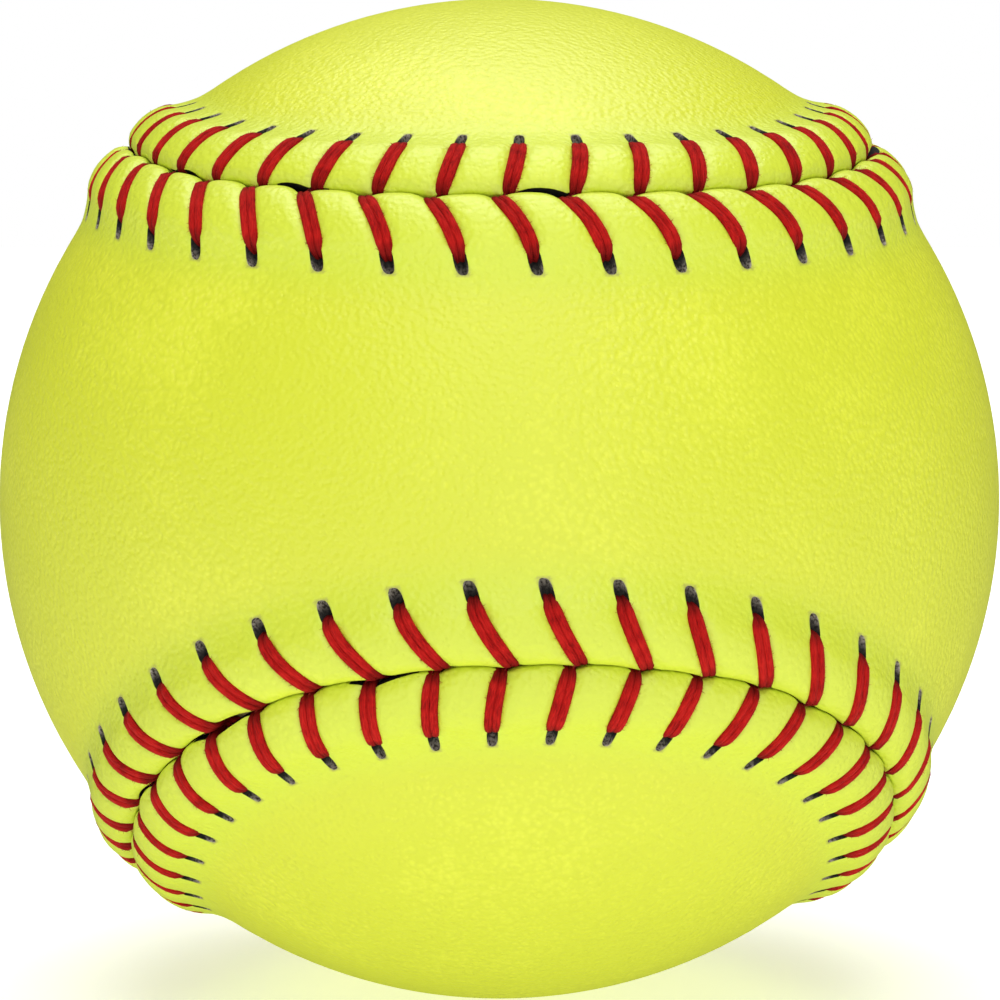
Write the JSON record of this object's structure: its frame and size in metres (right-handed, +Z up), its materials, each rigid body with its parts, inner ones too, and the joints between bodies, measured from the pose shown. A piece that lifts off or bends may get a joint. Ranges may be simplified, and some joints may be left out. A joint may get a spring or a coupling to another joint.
{
  "type": "softball",
  "caption": "Softball with two figure-of-eight leather panels sewn edge to edge over raised, padded seam lips around a foam core.",
  "frame": {"origin": "centre of the ball", "axes": "+Z up as the ball lies, -Y towards the side where panel A has its narrow waist, +X to the right seen from that side"},
  "size_m": [0.097, 0.0991, 0.097],
  "materials": {
    "core_foam": "moulded polyurethane foam, closed skin",
    "cement": "dried cement film, dull",
    "welt_felt": "pressed felt strip",
    "cover_leather": "dyed pebbled leather, satin",
    "waxed_thread": "two-ply waxed thread, slightly fuzzy"
  },
  "bodies": {
    "root": {"core": "core_foam", "cement_film": "cement", "seam_welt_a": "welt_felt", "seam_welt_b": "welt_felt", "cover_panel_a": "cover_leather", "cover_panel_b": "cover_leather", "needle_one_thread": "waxed_thread", "needle_two_thread": "waxed_thread"}
  },
  "joints": []
}
